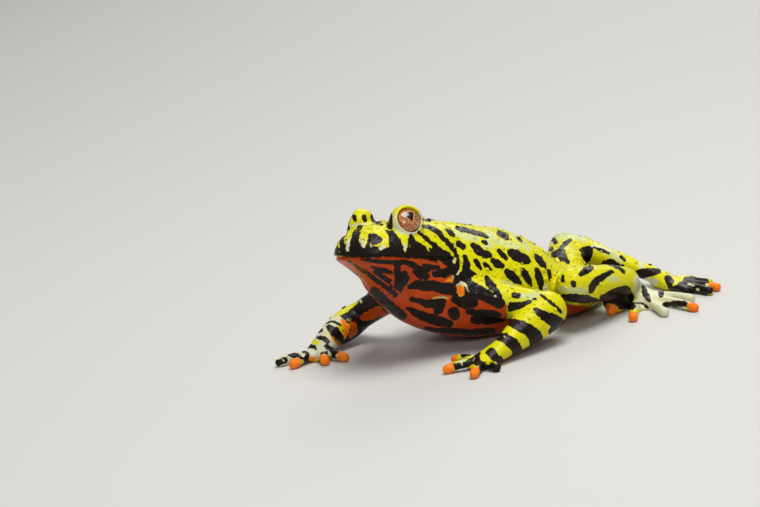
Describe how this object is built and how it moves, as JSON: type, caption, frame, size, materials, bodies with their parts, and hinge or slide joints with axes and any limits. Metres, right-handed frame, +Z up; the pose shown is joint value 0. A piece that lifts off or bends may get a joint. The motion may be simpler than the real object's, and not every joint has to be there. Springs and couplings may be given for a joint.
{
  "type": "fire bellied toad",
  "caption": "Life-size still model of an Oriental fire-bellied toad, propped on its fore legs with its head raised and its belly on the floor.",
  "frame": {"origin": "middle of the bounding box's base, on the floor that belly, hands and feet rest on", "axes": "-Y towards the snout, +X to the toad's left, +Z up"},
  "size_m": [0.0438, 0.063, 0.0243],
  "materials": {
    "skin": "wet, glossy, warty skin, yellow-green with black blotches above and orange-red with black below",
    "eye": "wet, clear and glossy, copper-brown with a black pupil"
  },
  "bodies": {
    "root": {"head": "skin", "torso": "skin", "upper_arm_left": "skin", "upper_arm_right": "skin", "forearm_left": "skin", "forearm_right": "skin", "hand_left": "skin", "hand_right": "skin", "thigh_left": "skin", "thigh_right": "skin", "shank_left": "skin", "shank_right": "skin", "foot_left": "skin", "foot_right": "skin", "eye_left": "eye", "eye_right": "eye"}
  },
  "joints": []
}
